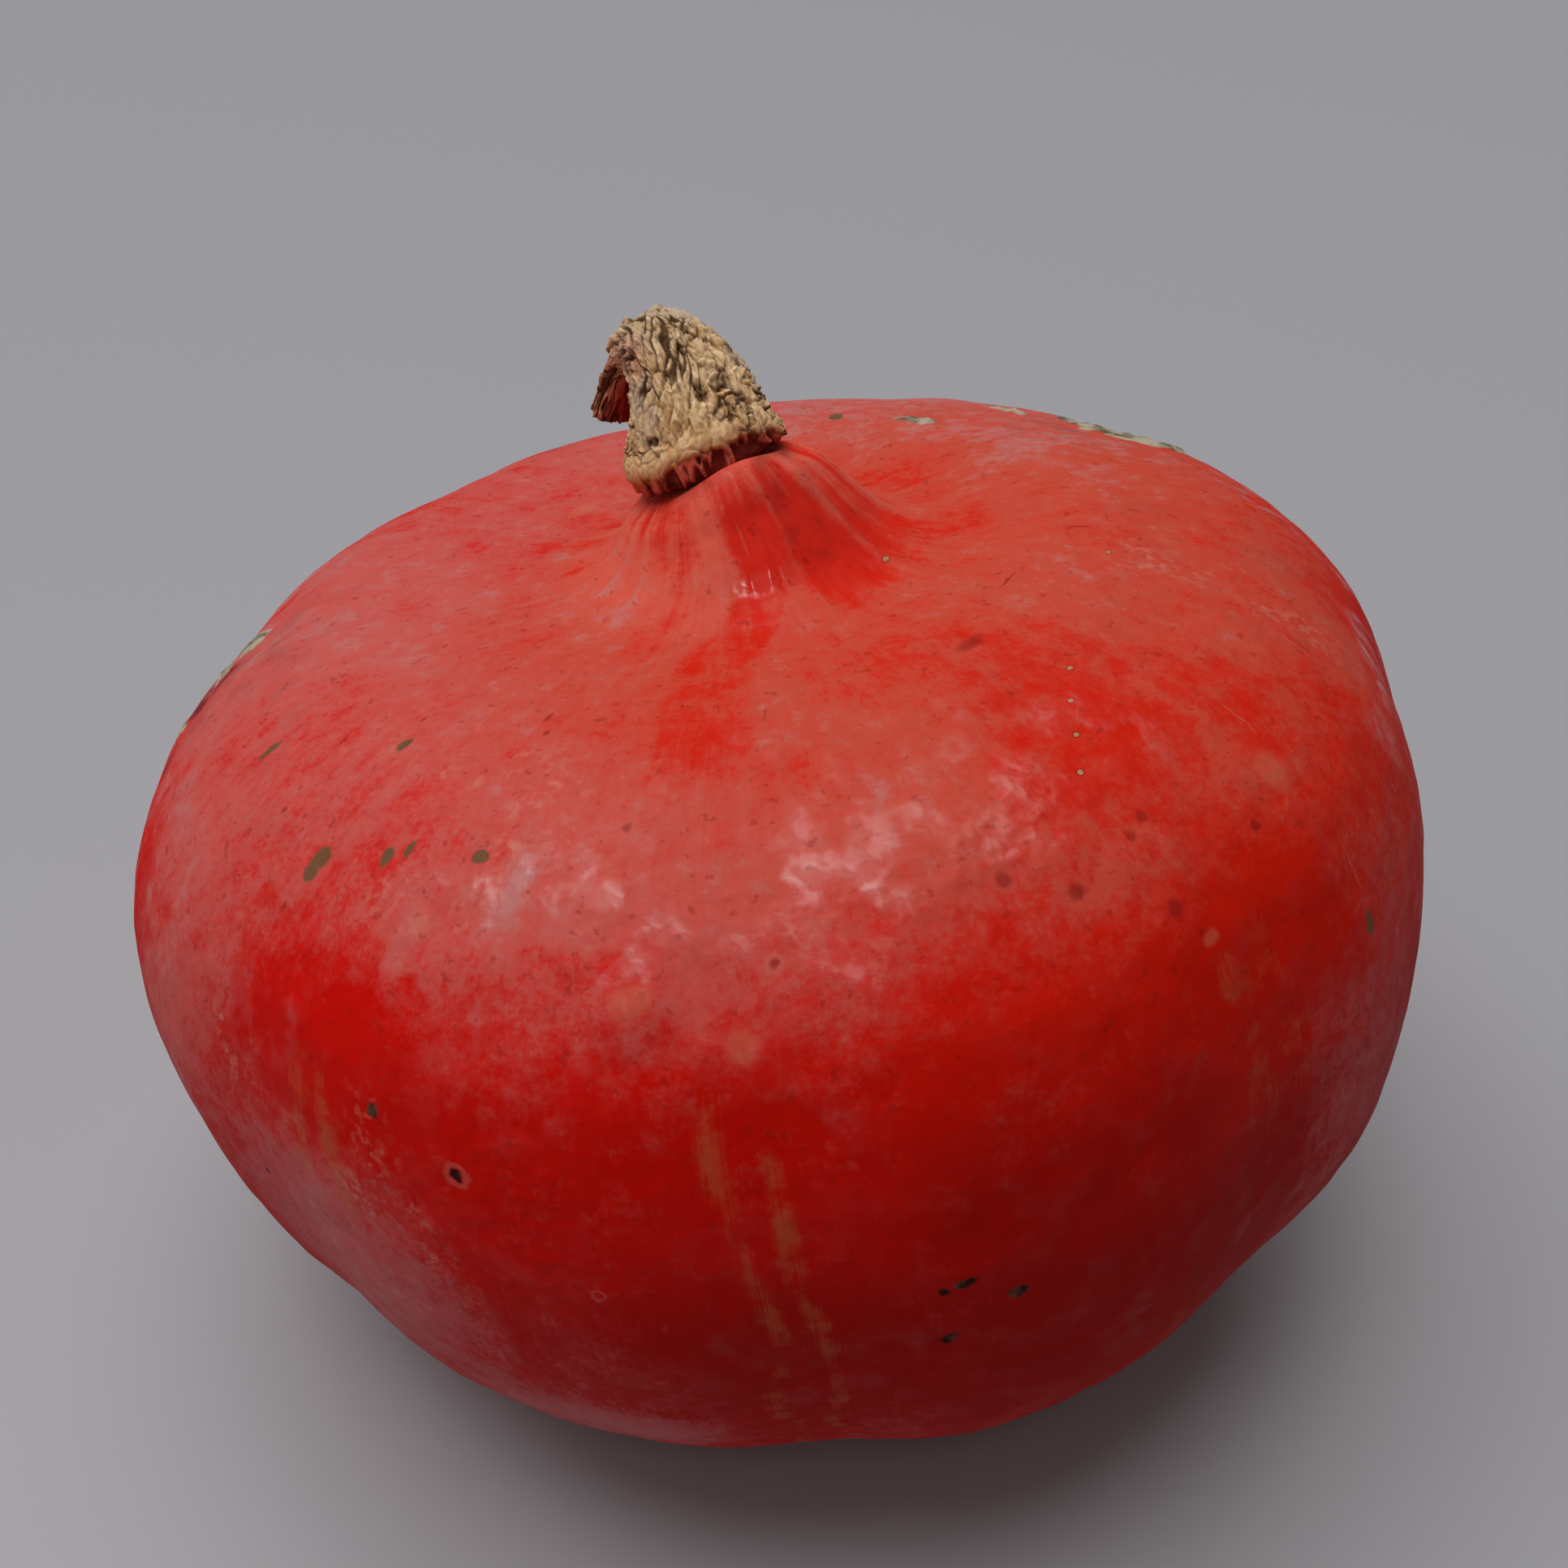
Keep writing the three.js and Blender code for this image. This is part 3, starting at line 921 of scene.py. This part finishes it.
def domed(edges, width):
    """Rounds each flake off from its crack, at 0, up to 1 at this width."""
    return 1 - (1 - np.minimum(edges / width, 1)) ** 2


def stem_patch(turn, away, across, along_it, soft=0.5):
    """A soft patch round a place on the stem: its turn in degrees and its distance from the base."""
    sideways = np.radians(apart(np.degrees(around), turn)) * 8 / across
    return 1 - smoothstep(np.hypot(sideways, (along - away) / along_it), 1 - soft, 1 + soft)


# The collar's lip, seen round the stem, and the fringe that hangs from it into the gap below.
LIP = [
    (0, 1.2),
    (120, 1.6),
    (150, 2.4),
    (190, 2.8),
    (215, 4.1),
    (250, 4.6),
    (285, 4.0),
    (305, 2.2),
    (325, 1.2),
    (360, 1.2),
]
LIP_RISE = 0.3
FRINGE_DEPTH = 1.0

# Holes in the cork: turn, distance from the base, half widths round and along, and depth.
HOLES = [
    (263, 10, 1.6, 0.9, 0.8),
    (242, 9.7, 0.9, 1.0, 0.8),
    (187, 6.3, 0.9, 0.6, 1.0),
    (246, 14, 0.5, 0.5, 0.6),
]

# The cork's flakes: long ropes of it in most places, blocks low at the front and left, thin threads.
degrees_round = np.degrees(around)
sway = 1.5 * np.stack([bark_noise(4.5, 6, seed) for seed in (1, 2, 3)], axis=-1)
curl = np.stack([bark_noise(1.6, 2.4, seed) for seed in (4, 5, 6)], axis=-1) * [0.45, 0.45, 0.8]
swayed = 0.5 * (bark + plain_stem) + sway + curl

long_edges, long_own = flakes(swayed / [1.5, 1.5, 7.5], 1)
thin_edges, thin_own = flakes(swayed / [0.75, 0.75, 3], 2)
block_edges, block_own = flakes(swayed / [1.7, 1.7, 1.5], 3)
blocky = np.maximum(stem_patch(285, 7.5, 6, 5.5), stem_patch(170, 5, 4, 2.5))
hook_start = smoothstep(along, 19, 24)

CRACK_WIDTH = 0.2
ropes = 0.65 * (domed(long_edges, CRACK_WIDTH) - 0.85) + 0.5 * long_own
blocks = 0.55 * (domed(block_edges, CRACK_WIDTH) - 0.85) + 0.5 * block_own
threads_up = 0.22 * (domed(thin_edges, CRACK_WIDTH) - 0.8) + 0.2 * thin_own
nodules = smoothstep(bark_noise(1.0, 1.1, 21), 0.12, 0.35) * stem_patch(205, 17.5, 7, 4.5)
holes = sum(depth * stem_patch(turn, away, wide, high, 0.35) for turn, away, wide, high, depth in HOLES)
stem_up = (1 - blocky) * (1 + 0.8 * hook_start) * ropes + blocky * blocks
stem_up = stem_up + (1 - 0.6 * hook_start) * threads_up + 0.5 * nodules - holes

# Thin papery folds stand on the flakes, and all of the relief is lower towards both ends.
fold_lines = np.abs(bark_noise(1.5, 4.2, 7) + 0.3 * bark_noise(0.8, 1.5, 8))
papery = np.maximum(1 - fold_lines / 0.13, 0)
stem_up = stem_up + 0.4 * papery * (1 - 0.7 * hook_start)
RELIEF_ALONG = [(0, 0.7), (6, 0.85), (14, 0.9), (24, 0.65), (34, 0.55)]
stem_up = stem_up * np.interp(along, *np.array(RELIEF_ALONG).T)

# The collar's ledge, and the ragged fringe of teeth under it.
lip = np.interp(degrees_round, *np.array(LIP).T)
lip = lip + 0.5 * bark_noise(2.2, 40, 15) + 0.25 * bark_noise(0.8, 40, 16)
under = lip - along
ledge = np.exp(-(((under + 0.9) / 0.9) ** 2))
stem_up = stem_up * (1 - 0.55 * ledge) + LIP_RISE * ledge
fringe = smoothstep(under, -0.15, 0.3)
tooth_noise = bark_noise(0.8, 5, 17) + 0.5 * bark_noise(0.4, 2.2, 18)
tooth_length = 1.4 + 2.2 * bark_noise(0.8, 60, 19)
tooth_end = smoothstep(under, tooth_length - 0.3, tooth_length + 0.3)
teeth = smoothstep(tooth_noise, -0.12, 0.14) * (1 - tooth_end)
stem_up = (1 - fringe) * stem_up + fringe * (0.85 * teeth - FRINGE_DEPTH + 0.15 * thin_own)
stem_up = stem_up + 0.05 * bark_noise(0.3, 0.45, 12)

stem_points = plain_stem + stem_up[..., None] * normals_of(plain_stem)
stem = skin_mesh("cork_stem", (stem_points + neck_top + offset) * MM)


def crack_at(edges, width):
    """1 in the middle of a crack, down to 0 at this width from it."""
    return np.maximum(1 - edges / width, 0)


crack = crack_at(long_edges, CRACK_WIDTH) * (1 - blocky) + crack_at(block_edges, CRACK_WIDTH) * blocky
crack = np.maximum(crack, 0.6 * crack_at(thin_edges, 0.18)) * (0.7 + 1.1 * bark_noise(3, 6, 31))
keep_values(stem, "up", stem_up)
keep_values(stem, "crack", np.maximum(crack * (1 - 0.6 * ledge), 0.4 * np.minimum(holes, 1)))
keep_values(stem, "fringe", fringe)
keep_values(stem, "teeth", teeth)
# A painted orange glow along the lip's edge, for light thrown up from the red neck.
keep_values(stem, "painted_lip_glow", np.exp(-(((under - 0.05) / 0.5) ** 2)))
keep_values(stem, "bark", bark)
# Paler on the nodules and papery folds: partly their own colour, partly painted highlight on the fold
# crests.
keep_values(stem, "pale", np.maximum(nodules, 0.5 * smoothstep(papery, 0.3, 0.9)))
# Greyer patches: partly weathered cork, partly painted sheen at the stem's left and right edges.
WEATHERED_AND_SHEEN = [(183, 11, 2.6, 5), (195, 18.5, 5, 3), (318, 13, 3, 8), (285, 19, 6, 2)]
keep_values(stem, "weathered_and_sheen", np.max([stem_patch(*place) for place in WEATHERED_AND_SHEEN], axis=0))
keep_values(stem, "ripe", np.maximum(hook_start, 0.6 * stem_patch(185, 17, 4, 3)))
# The hook's inner face, towards the stem, is painted dark red: painted shade, with red light thrown up from
# the fruit.
keep_values(stem, "inside", hook_start * (1 - smoothstep(apart(degrees_round, 110), 25, 60)))

# The stem's colours: tan cork, greyer in patches and still reddish where it hangs down, with painted shade,
# glow, sheen and highlight as said where each is used.
CORK_TAN = (0.62, 0.36, 0.145)
CORK_STRAW = (0.98, 0.70, 0.405)
CORK_AT_TOP = (0.36, 0.235, 0.13)
CORK_AT_COLLAR_SHADED = (0.62, 0.30, 0.115)
CORK_FOLDS_AND_HIGHLIGHT = (0.90, 0.70, 0.44)
CORK_GREY_AND_SHEEN = (0.56, 0.47, 0.40)
HOOK_DARK = (0.30, 0.082, 0.048)
HOOK_PALE = (0.86, 0.36, 0.21)
HOOK_INSIDE_SHADE = (0.32, 0.022, 0.013)
LIP_PAINTED_GLOW = (0.62, 0.24, 0.07)
HOLLOW_SHADE_BROWN = (0.14, 0.056, 0.017)
CRACK_BROWN = (0.095, 0.038, 0.012)
FRINGE_SHADE = (0.17, 0.012, 0.007)
FRINGE_TEETH_RED_BOUNCE = (0.64, 0.118, 0.068)

finish_of(stem, "cork")
bark_place = kept("bark", vector=True)
up_stem = part_of(bark_place, 2)
grain = cloud(bark_place * Vector((1, 1, 0.45)), 2.2, 3, 0.6)
blotches = cloud(bark_place, 0.35, 2, 0.5)
cork = coloured(ramp(grain + 0.7 * (blotches - 0.5), 0.3, 0.68), CORK_TAN, CORK_STRAW)
cork = coloured(0.45 * ramp(up_stem, 9, 19), cork, CORK_AT_TOP)
# Browner low by the collar: partly the cork's own colour, partly painted shade.
cork = coloured(0.6 * ramp(up_stem, 9, 3), cork, CORK_AT_COLLAR_SHADED)
# Paler nodules and folds, partly painted highlight.
cork = coloured(0.75 * kept("pale"), cork, CORK_FOLDS_AND_HIGHLIGHT)
# Greyer patches, partly painted sheen.
cork = coloured(0.5 * kept("weathered_and_sheen") * ramp(blotches, 0.35, 0.55), cork, CORK_GREY_AND_SHEEN)
hook_colour = coloured(ramp(grain, 0.35, 0.65), HOOK_DARK, HOOK_PALE)
# Painted shade on the hook's inner face.
hook_colour = coloured(kept("inside"), hook_colour, HOOK_INSIDE_SHADE)
cork = coloured(kept("ripe"), cork, hook_colour)
# Painted glow at the lip.
cork = coloured(0.8 * kept("painted_lip_glow"), cork, LIP_PAINTED_GLOW)
# Painted shade: darker brown where the cork lies lowest, in its hollows.
cork = coloured(ramp(kept("up"), -0.1, -1.0), cork, HOLLOW_SHADE_BROWN)
cork = coloured(0.92 * ramp(kept("crack"), 0.12, 0.72), cork, CRACK_BROWN)
# The fringe under the collar is painted dark red between its teeth, as painted shade, and its teeth paler
# red, as red light thrown on them from the neck.
fringe_shade_colour = coloured(kept("teeth") * ramp(grain, 0.3, 0.55), FRINGE_SHADE, FRINGE_TEETH_RED_BOUNCE)
cork = coloured(kept("fringe"), cork, fringe_shade_colour)
painted(coat_of(cork, 0.8, relief_of(0.12 * grain), gleam=0.2))

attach(stem, "root")
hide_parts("stem")

# ---------------------------------------------------------------------------------------------------
# What the squash lies on: a plain pale board, a little glossy, that runs on far past the squash. It
# belongs to the studio and not to the squash.
# ---------------------------------------------------------------------------------------------------
FLOOR_REACH = 4
PALE_BOARD = (0.38, 0.378, 0.405, 1)
floor_mesh = bpy.data.meshes.new("floor")
floor_corners = [(x * FLOOR_REACH, y * FLOOR_REACH, 0) for x, y in ((-1, -1), (1, -1), (1, 1), (-1, 1))]
floor_mesh.from_pydata(floor_corners, [], [(0, 1, 2, 3)])
floor = bpy.data.objects.new("floor", floor_mesh)
bpy.context.scene.collection.objects.link(floor)

finish_of(floor, "pale_board")
painted(coat_of(PALE_BOARD, 0.5))

# ---------------------------------------------------------------------------------------------------
# The light: a broad soft one overhead and behind, and smaller ones from the left and the front. The
# room itself is dim, but it looks as pale as the board.
# ---------------------------------------------------------------------------------------------------


def soft_light(name, azimuth, elevation, spread, strength):
    """A distant light: where it stands, in degrees round from the front and up, and how wide it looks."""
    lamp = bpy.data.lights.new(name, "SUN")
    lamp.angle = math.radians(spread)
    lamp.energy = strength
    light = bpy.data.objects.new(name, lamp)
    a, e = math.radians(azimuth), math.radians(elevation)
    towards = Vector((math.sin(a) * math.cos(e), -math.cos(a) * math.cos(e), math.sin(e)))
    light.rotation_euler = towards.to_track_quat("Z", "Y").to_euler()
    bpy.context.scene.collection.objects.link(light)


soft_light("overhead", -138, 76, 60, 1.8)
soft_light("lamp", -40, 75, 22, 0.35)
soft_light("window", -90, 56, 24, 0.25)
soft_light("fill", -50, 24, 70, 0.3)
soft_light("ceiling_lamp", -4, 58, 10, 0.13)

DIM_ROOM = (0.08, 0.07, 0.064, 1)
PALE_ROOM = (0.32, 0.32, 0.34, 1)
room = bpy.data.worlds.new("room")
bpy.context.scene.world = room
room.use_nodes = True
room.node_tree.nodes.clear()
Wire.tree = room.node_tree
lit = Wire.node("Background", sockets={"Color": DIM_ROOM})
seen = Wire.node("Background", sockets={"Color": PALE_ROOM})
looked_at = Wire.node("LightPath")
both = Wire.node("MixShader", sockets={0: looked_at, 1: lit, 2: seen})
Wire.node("OutputWorld", sockets={"Surface": both})
